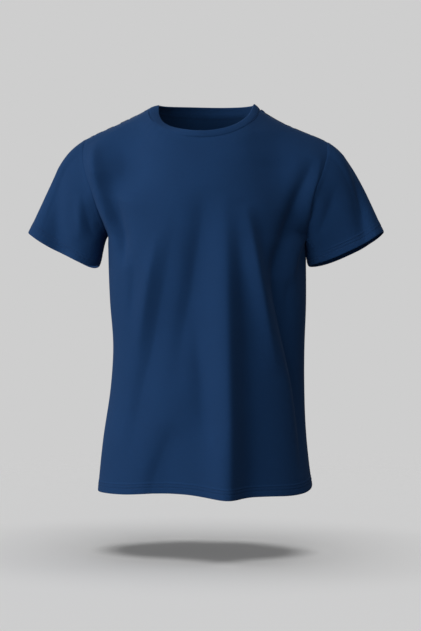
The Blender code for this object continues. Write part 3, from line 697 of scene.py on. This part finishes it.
def panel_relief(name, grid):
    """Outward and inward lift of a panel's hem and seams, and how worn each place is."""
    up, across = lengths(grid, 0), lengths(grid, 1)
    edge = np.minimum(across, from_end(across, 1))
    top = from_end(up, 0)
    on_neck = np.broadcast_to(np.abs(SHARES if name == "front" else SHARES[::-1]) < NECK_SHARE,
                              up.shape)
    body = np.broadcast_to(np.arange(len(grid))[:, None] < len(BODY_RISES), up.shape)
    outer = hem_relief(up, across) - SEAM_DIP * (bump(edge, SEAM_WIDTH) + bump(top, SEAM_WIDTH))
    if name == "back":
        beside = allowance(edge, ALLOWANCE_THICK) * ease(up / SEAM_START)
        outer = outer + np.where(body, beside, 0)
        outer = outer + np.where(on_neck, 0, allowance(top, ALLOWANCE_THICK))
    seam = np.minimum(edge, top)
    inner = INSIDE_THICK * hem_band(up) + allowance(seam, INSIDE_THICK)
    worn = bump(up, EDGE_WEAR) + HEM_WEAR_SHARE * bump(up - HEM_HEIGHT, HEM_WEAR)
    return outer, inner, worn + SEAM_WEAR_SHARE * allowance(seam, 1)


def sleeve_relief(name, grid):
    """The same for a sleeve, whose own seam lies below."""
    along, around = lengths(grid, 0), lengths(wrapped(grid), 1)
    cuff = from_end(along, 0)
    under = len(YOKE_STEPS) - 1
    if name == "sleeve_left":
        under = grid.shape[1] - 1 - under
    seam = np.abs(around[:, :-1] - around[:, under:under + 1])
    outer = hem_relief(cuff, around[:, :-1]) - SEAM_DIP * bump(along, SEAM_WIDTH)
    outer = outer - SLEEVE_SEAM_DIP * bump(seam, SEAM_WIDTH) * ease(along / SEAM_START)
    outer = outer + allowance(along, ALLOWANCE_THICK)
    inner = INSIDE_THICK * hem_band(cuff) + allowance(np.minimum(along, seam), INSIDE_THICK)
    return outer, inner, bump(cuff, EDGE_WEAR) + SEAM_WEAR_SHARE * allowance(along, 1)


def made(name, points, faces, cut=None, worn=None, smooth=True):
    """New piece, with its cut's measures as its map and its wear as a value of each point."""
    mesh = bpy.data.meshes.new(name)
    mesh.from_pydata(points, [], faces)
    if cut is not None:
        mesh.uv_layers.new(name="cut").data.foreach_set("uv", cut.ravel())
        mesh.attributes.new("worn", "FLOAT", "POINT").data.foreach_set("value", worn.ravel())
    mesh.update()
    if smooth:
        mesh.shade_smooth()
    piece = bpy.data.objects.new(name, mesh)
    bpy.context.scene.collection.objects.link(piece)
    return piece


def cloth_wall(name, outer, inner, closed, worn):
    """Closed wall between a piece's outer and inner points."""
    index = np.arange(outer[..., 0].size).reshape(outer.shape[:2])
    count = index.size
    grid = outer
    if closed:
        index, grid = wrapped(index), wrapped(outer)
    across, up = lengths(grid, 1), lengths(grid, 0)
    flat = np.stack([across - across[:, -1:] / 2, up], -1)
    sheet, maps = squares(index, flat)
    faces, spread = [sheet, sheet[:, ::-1] + count], [maps, maps[:, ::-1]]
    loops = [(index[0], flat[0]), (index[-1][::-1], flat[-1][::-1])]
    if not closed:
        loops += [(index[:, -1], flat[:, -1]), (index[::-1, 0], flat[::-1, 0])]
    for loop, place in loops:
        near, far = loop[:-1], loop[1:]
        faces.append(np.stack([near, near + count, far + count, far], 1))
        spread.append(np.stack([place[:-1], place[:-1], place[1:], place[1:]], 1))
    points = np.concatenate([outer.reshape(-1, 3), inner.reshape(-1, 3)])
    piece = made(name, points.tolist(), np.concatenate(faces).tolist(), np.concatenate(spread),
                 np.concatenate([worn, worn]))
    piece.data.set_sharp_from_angle(angle=SHARP_ANGLE)
    return piece


def stitched_line(points, normals):
    """Capsule stitches along a line on the cloth."""
    place = travelled(points)
    count = int(place[-1] / STITCH_PITCH)
    pitch = place[-1] / count
    turns = [2 * math.pi * j / STITCH_SIDES for j in range(STITCH_SIDES)]
    vertices, faces = [], []
    for k in range(count):
        centre = pitch * (k + 0.5)
        start, end = (along_line(centre + s * STITCH_LENGTH, place, points) for s in (-0.5, 0.5))
        facing = unit(along_line(centre, place, normals))
        way = end - start
        across = unit(np.cross(way, facing))
        base = len(vertices)
        for s, size in STITCH_PROFILE:
            rise = STITCH_RADIUS * (STITCH_ARCH * size - STITCH_SUNK)
            spine = (start + end) / 2 + s * way + facing * rise
            for turn in turns:
                ring = math.cos(turn) * across + math.sin(turn) * facing
                vertices.append(spine + max(size, STITCH_TIP) * STITCH_RADIUS * ring)
        last = base + (len(STITCH_PROFILE) - 1) * STITCH_SIDES
        for ring in range(base, last, STITCH_SIDES):
            for j in range(STITCH_SIDES):
                a, b = ring + j, ring + (j + 1) % STITCH_SIDES
                faces.append((a, b, b + STITCH_SIDES, a + STITCH_SIDES))
        faces.append([base + j for j in range(STITCH_SIDES)][::-1])
        faces.append([last + j for j in range(STITCH_SIDES)])
    return vertices, faces


def stitching(name, lines):
    vertices, faces = [], []
    for points, normals in lines:
        more, ring = stitched_line(points, normals)
        faces += [[i + len(vertices) for i in face] for face in ring]
        vertices += more
    return made(name, [tuple(point) for point in vertices], faces)


# ---- Neck rib ----

def neck_rib():
    """Doubled rib band: out from the seam, over its rounded edge, and back down inside."""
    turn = np.linspace(-1, 1, RIB_RING_STEPS)
    front = body_point(-1, *neckline(-1, turn))
    back = body_point(1, *neckline(1, turn))[::-1]
    seam = np.concatenate([front, back[1:]])
    place = travelled(seam)
    length = place[-1]
    count = round(length / RIB_PITCH) * RIB_COLUMNS
    ring = along_line(np.linspace(0, length, count, endpoint=False), place, seam)
    ahead = ring[:, 1] < 0
    inward = np.column_stack([unit(-ring[:, :2]), np.zeros(count)])
    facing = np.abs(inward[:, 1])
    centre = np.where(ahead, RIB_LEAN_FRONT, RIB_LEAN_BACK)
    beside = np.where(ring[:, 0] < 0, RIB_LEAN_LEFT, RIB_LEAN_RIGHT)
    turning = np.where(ahead, RIB_TURN_FRONT, RIB_TURN_BACK)
    lean = beside + (centre - beside) * facing ** turning
    roll = np.where(ring[:, 0] < 0, RIB_ROLL_LEFT, RIB_ROLL_RIGHT)
    corner = np.where(ahead, 2 * np.abs(inward[:, 0] * inward[:, 1]), 0)
    lean = (lean + roll * corner)[:, None]
    up = np.array([0, 0, 1])
    along = np.sin(lean) * inward + np.cos(lean) * up
    proud = np.sin(lean) * up - np.cos(lean) * inward
    reach = (1 - RIB_FRONT_TUCK * np.where(ahead, facing, 0) ** turning
             + RIB_LEFT_REACH * np.maximum(inward[:, 0], 0) ** 2
             * np.clip(0.5 - ring[:, 1] / RIB_LEFT_DEPTH, 0, 1))[:, None]
    knit = 0.5 + 0.5 * np.cos(2 * math.pi * np.arange(count) / RIB_COLUMNS)
    knit = (RIB_RELIEF * (knit ** RIB_CREST - 0.5))[:, None]
    half = RIB_THICK / 2
    profile = []
    for t in RIB_OUTSIDE:
        rise = half * (RIB_THIN + (1 - RIB_THIN) * ease(t / RIB_FULL))
        relief = ease((t - RIB_RELIEF_START) / RIB_RELIEF_GROWTH)
        profile.append((t * RIB_WIDTH, rise - (RIB_UNDER if t < 0 else 0), relief))
    for degrees in RIB_FOLD_DEGREES:
        turn = math.radians(degrees)
        profile.append((RIB_WIDTH - half + half * math.sin(turn), half * math.cos(turn), 1))
    for t in RIB_INSIDE:
        thin = 1 if t > RIB_FULL_INSIDE else RIB_THIN_INSIDE
        profile.append((t * RIB_WIDTH, -half * thin, ease(t / RIB_RELIEF_GROWTH)))
    rows = []
    for far, rise, relief in profile:
        share = np.clip(far / RIB_WIDTH, 0, 1)
        crown = RIB_BULGE * math.sin(math.pi * share) - half * RIB_SUNK
        lift = crown + rise + math.copysign(1, rise) * knit * relief
        rows.append(ring + far * reach * along + lift * proud)
    grid = np.array(rows)
    index = wrapped(np.arange(grid[..., 0].size).reshape(grid.shape[:2]))
    closed = wrapped(grid)
    up_length = lengths(np.concatenate([closed, closed[:1]]), 0)
    round_length = np.broadcast_to(np.linspace(0, length, count + 1), up_length.shape)
    faces, maps = squares(np.concatenate([index, index[:1]]),
                          np.stack([round_length, up_length], -1))
    worn = np.array([bump(far - RIB_WIDTH, RIB_WEAR) for far, _, _ in profile])
    return made("rib_band", grid.reshape(-1, 3).tolist(), faces.tolist(), maps,
                worn[:, None] * np.ones(count))


# ---- Materials ----

class Graph:
    """Short calls for a material's nodes."""

    def __init__(self, name):
        self.material = bpy.data.materials.new(name)
        self.material.use_nodes = True
        self.tree = self.material.node_tree
        self.shader = self.tree.nodes["Principled BSDF"]

    def feed(self, node, inputs):
        """Links or sets a node's inputs, by name or number."""
        for name, value in inputs.items():
            if hasattr(value, "is_linked"):
                self.tree.links.new(value, node.inputs[name])
            else:
                node.inputs[name].default_value = value

    def node(self, kind, inputs, **settings):
        added = self.tree.nodes.new(kind)
        for name, value in settings.items():
            setattr(added, name, value)
        self.feed(added, inputs)
        return added

    def math(self, operation, *values):
        return self.node("ShaderNodeMath", dict(enumerate(values)), operation=operation).outputs[0]

    def split(self, vector):
        return self.node("ShaderNodeSeparateXYZ", {"Vector": vector}).outputs

    def noise(self, vector, scale, detail):
        inputs = {"Vector": vector, "Scale": scale, "Detail": detail}
        return self.node("ShaderNodeTexNoise", inputs).outputs["Fac"]

    def relief(self, height, strength, distance):
        inputs = {"Height": height, "Strength": strength, "Distance": distance}
        return self.node("ShaderNodeBump", inputs).outputs[0]

    def shades(self, share, colour, darkest, lightest):
        """A colour's shades, from a share of 0 to 1. Sockets 6, 7 and 2 are the mix's colours."""
        dark, light = (tuple(level * c for c in colour) + (1,) for level in (darkest, lightest))
        mix = self.node("ShaderNodeMix", {}, data_type="RGBA")
        self.feed(mix, {0: share, 6: dark, 7: light})
        return mix.outputs[2]


def knit_height(graph, u, v, wale, course):
    """Height of stocking stitch: columns of V-shaped loops, from places u and v on the cut."""
    a = graph.math("DIVIDE", u, wale)
    b = graph.math("DIVIDE", v, course)
    leg = graph.math("PINGPONG", a, 0.5)
    slant = graph.math("MULTIPLY_ADD", leg, 1.3, b)
    loops = graph.math("SINE", graph.math("MULTIPLY", slant, 2 * math.pi))
    loops = graph.math("MULTIPLY_ADD", loops, 0.5, 0.5)
    gutter = graph.math("SINE", graph.math("MULTIPLY", a, math.pi))
    gutter = graph.math("POWER", graph.math("ABSOLUTE", gutter), 0.5)
    return graph.math("MULTIPLY", gutter, graph.math("MULTIPLY_ADD", loops, 0.45, 0.55))


def cloth_material(name, wale, course, depth, colour):
    graph = Graph(name)
    cut = graph.node("ShaderNodeUVMap", {}, uv_map="cut").outputs[0]
    u, v, _ = graph.split(cut)
    knit = knit_height(graph, u, v, wale, course)
    fibre = graph.noise(cut, FIBRE_SCALE, 3)
    yarn = graph.node("ShaderNodeMapping", {"Vector": cut, "Scale": YARN_SCALE})
    streak = graph.noise(yarn.outputs[0], 1, 2)
    cloud = graph.noise(cut, CLOUD_SCALE, 4)
    worn = graph.node("ShaderNodeAttribute", {}, attribute_name="worn").outputs["Fac"]
    # Painted shade: the colour is darker where the knit's relief is low, in the grooves between
    # its columns and its loops. Fibre, streak and cloud are random tone, and the worn lines are
    # lighter wear.
    knit_shade_and_tone = graph.math("MULTIPLY_ADD", knit, 0.30, 0.86)
    for value, swing in ((fibre, 0.24), (streak, 0.20), (cloud, 0.16)):
        knit_shade_and_tone = graph.math("MULTIPLY", knit_shade_and_tone,
                          graph.math("MULTIPLY_ADD", value, swing, 1 - swing / 2))
    knit_shade_and_tone = graph.math("MULTIPLY_ADD", worn, 0.10, knit_shade_and_tone)
    share = graph.math("DIVIDE", graph.math("SUBTRACT", knit_shade_and_tone, DARKEST), LIGHTEST - DARKEST)
    height = graph.math("MULTIPLY_ADD", fibre, 0.35, knit)
    graph.feed(graph.shader, {
        "Base Color": graph.shades(share, colour, DARKEST, LIGHTEST),
        "Roughness": graph.math("MULTIPLY_ADD", fibre, 0.14, ROUGHNESS - 0.07),
        "Normal": graph.relief(height, 0.6, depth),
        "Metallic": 0,
        "Specular IOR Level": 0.18,
        "Sheen Weight": 0.16,
        "Sheen Roughness": 0.45,
        "Sheen Tint": (0.25, 0.42, 0.75, 1),
    })
    graph.material.diffuse_color = colour + (1,)
    return graph.material


def thread_material(name, colour):
    graph = Graph(name)
    place = graph.node("ShaderNodeTexCoord", {}).outputs["Object"]
    twist = graph.noise(place, THREAD_SCALE, 1)
    graph.feed(graph.shader, {
        "Base Color": graph.shades(twist, colour, 0.8, 1.5),
        "Normal": graph.relief(twist, 0.4, THREAD_DEPTH),
        "Roughness": 0.6,
        "Specular IOR Level": 0.35,
    })
    graph.material.diffuse_color = colour + (1,)
    return graph.material


# ---- The shirt ----

front_form, back_form = panel_grid(-1), panel_grid(1)
grids = {
    "front": front_form,
    "back": back_form[:, ::-1],
    "sleeve_left": sleeve_grid(-1, front_form, back_form)[:, ::-1],
    "sleeve_right": sleeve_grid(1, front_form, back_form),
}
grids = folded(grids)
normals = garment_normals(grids)

jersey = cloth_material("navy jersey", JERSEY_WALE, JERSEY_COURSE, JERSEY_DEPTH, NAVY)
ribbed = cloth_material("navy rib", RIB_PITCH / 2, RIB_COURSE, RIB_DEPTH, NAVY)
thread = thread_material("navy thread", NAVY)

pieces, lines = {}, {}
for name, grid in grids.items():
    relief = sleeve_relief if name in CLOSED else panel_relief
    lift, inside, worn = relief(name, grid)
    outer = grid + lift[..., None] * normals[name]
    inner = grid - (JERSEY + inside)[..., None] * normals[name]
    pieces[name] = cloth_wall(name + "_cloth", outer, inner, name in CLOSED, worn)
    pieces[name].data.materials.append(jersey)
    facing = normals[name]
    if name in CLOSED:
        outer, facing = wrapped(outer)[::-1], wrapped(facing)[::-1]
    rows = [HEM_STEPS.index(needle) for needle in HEM_NEEDLES]
    lines[name] = [(outer[row], facing[row]) for row in rows]

rib = neck_rib()
rib.data.materials.append(ribbed)

for name, piece in pieces.items():
    sewing = stitching(name + "_hem_stitches", lines[name])
    sewing.data.materials.append(thread)
    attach(piece, "root")
    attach(sewing, "root")
    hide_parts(name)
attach(rib, "root")
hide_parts("neck_rib")

# ---- Floor, light and camera ----

FLOOR_LEVEL = -0.7996
FLOOR_GREY = 0.80
FLOOR_GLOW = 0.157                # light that no shadow takes from the floor
PALE = (0.617, 0.617, 0.617, 1)
FLOOR_SOLID = 0.55                # beyond this it fades into the backdrop
FLOOR_RADIUS = 1.70
FLOOR_RINGS = 24
FLOOR_SIDES = 64


def floor():
    vertices = [(0, 0, FLOOR_LEVEL)]
    for r in range(1, FLOOR_RINGS + 1):
        reach = FLOOR_RADIUS * r / FLOOR_RINGS
        for s in range(FLOOR_SIDES):
            turn = 2 * math.pi * s / FLOOR_SIDES
            vertices.append((reach * math.cos(turn), reach * math.sin(turn), FLOOR_LEVEL))
    faces = [(0, 1 + s, 1 + (s + 1) % FLOOR_SIDES) for s in range(FLOOR_SIDES)]
    for ring in range(1, 1 + (FLOOR_RINGS - 1) * FLOOR_SIDES, FLOOR_SIDES):
        for s in range(FLOOR_SIDES):
            a, b = ring + s, ring + (s + 1) % FLOOR_SIDES
            faces.append((a, a + FLOOR_SIDES, b + FLOOR_SIDES, b))
    disc = made("floor", vertices, faces, smooth=False)
    graph = Graph("pale floor")
    x, y, _ = graph.split(graph.node("ShaderNodeTexCoord", {}).outputs["Object"])
    away = graph.math("ADD", graph.math("POWER", x, 2), graph.math("POWER", y, 2))
    fade = graph.node("ShaderNodeMapRange", {
        "Value": graph.math("SQRT", away), "From Min": FLOOR_SOLID, "From Max": FLOOR_RADIUS,
        "To Min": 1, "To Max": 0}, interpolation_type="SMOOTHSTEP")
    graph.feed(graph.shader, {
        "Base Color": (FLOOR_GREY, FLOOR_GREY, FLOOR_GREY, 1),
        "Alpha": fade.outputs[0],
        "Roughness": 1,
        "Specular IOR Level": 0,
        "Emission Color": PALE,
        "Emission Strength": FLOOR_GLOW,
    })
    disc.data.materials.append(graph.material)
    disc.visible_diffuse = False
    disc.visible_glossy = False
    return disc


def group(name, members):
    collection = bpy.data.collections.new(name)
    for member in members:
        collection.objects.link(member)
    return collection


def aimed(thing, place, target):
    thing.location = place
    thing.rotation_euler = (Vector(target) - Vector(place)).to_track_quat("-Z", "Y").to_euler()
    bpy.context.scene.collection.objects.link(thing)
    return thing


garment = group("garment", [piece for piece in bpy.context.scene.objects if piece.type == "MESH"])
ground = group("ground", [floor()])

MIDDLE = (0, 0, -0.35)
SOFT = 1.8
Light = namedtuple("Light", "name place target size power only")
LIGHTS = (                        # only: the start of the pieces' names, where it isn't for all
    Light("key", (-2.53, -2.12, -0.35), MIDDLE, SOFT, 47, ""),
    Light("side", (-3.17, -0.28, 0.50), MIDDLE, SOFT, 22, ""),
    Light("high", (-0.20, -0.90, 2.82), MIDDLE, SOFT, 24, ""),
    Light("front", (-1.35, -2.89, 0.50), MIDDLE, SOFT, 23, ""),
    Light("fill", (1.59, -2.76, 0.50), MIDDLE, SOFT, 10, ""),
    Light("back", (-0.5, 2.90, 1.10), MIDDLE, SOFT, 26, ""),
    Light("neck fill", (0.0, -1.25, 0.40), (0, 0.05, -0.03), 0.5, 1.0, "back"),
    Light("collar fill", (-0.90, -0.60, 0.80), (-0.08, -0.03, -0.01), 0.5, 1.6, "rib_band"),
)
for row in LIGHTS:
    light = bpy.data.lights.new(row.name, "AREA")
    light.shape = "DISK"
    light.size = row.size
    light.energy = row.power
    light = aimed(bpy.data.objects.new(row.name, light), row.place, row.target)
    lit = [piece for piece in garment.objects if piece.name.startswith(row.only)]
    light.light_linking.receiver_collection = group(row.name, lit) if row.only else garment
overhead = bpy.data.lights.new("overhead", "SUN")
overhead.energy = 1.76
overhead.angle = math.radians(48)
overhead = aimed(bpy.data.objects.new("overhead", overhead), (0, 0, 3), (0, 0, 0))
overhead.light_linking.receiver_collection = ground

AMBIENT = 0.146                   # the backdrop's light on the shirt; it is seen at 1
world = bpy.data.worlds.new("studio")
world.use_nodes = True
nodes, links = world.node_tree.nodes, world.node_tree.links
backdrop = nodes["Background"]
backdrop.inputs[0].default_value = PALE
ambient = nodes.new("ShaderNodeBackground")
ambient.inputs[0].default_value = PALE
ambient.inputs[1].default_value = AMBIENT
seen = nodes.new("ShaderNodeLightPath")
either = nodes.new("ShaderNodeMixShader")
links.new(seen.outputs["Is Camera Ray"], either.inputs[0])
links.new(ambient.outputs[0], either.inputs[1])
links.new(backdrop.outputs[0], either.inputs[2])
links.new(either.outputs[0], nodes["World Output"].inputs[0])
bpy.context.scene.world = world
bpy.context.scene.view_settings.view_transform = "Standard"

PHOTO_HEIGHT = 631
METRES_A_PIXEL = 0.0018
SENSOR = 36
CAMERA_DISTANCE = 2.68
CAMERA_TURN = math.radians(6)
CAMERA_RISE = math.radians(1)
CAMERA_TARGET = Vector((0.008, 0, -0.375))

camera = bpy.data.cameras.new("camera")
camera.sensor_fit = "VERTICAL"
camera.sensor_height = SENSOR
camera.lens = SENSOR * CAMERA_DISTANCE / (PHOTO_HEIGHT * METRES_A_PIXEL)
level = math.cos(CAMERA_RISE) * CAMERA_DISTANCE
offset = Vector((math.sin(CAMERA_TURN) * level, -math.cos(CAMERA_TURN) * level,
                 math.sin(CAMERA_RISE) * CAMERA_DISTANCE))
viewer = aimed(bpy.data.objects.new("camera", camera), CAMERA_TARGET + offset, CAMERA_TARGET)
bpy.context.scene.camera = viewer
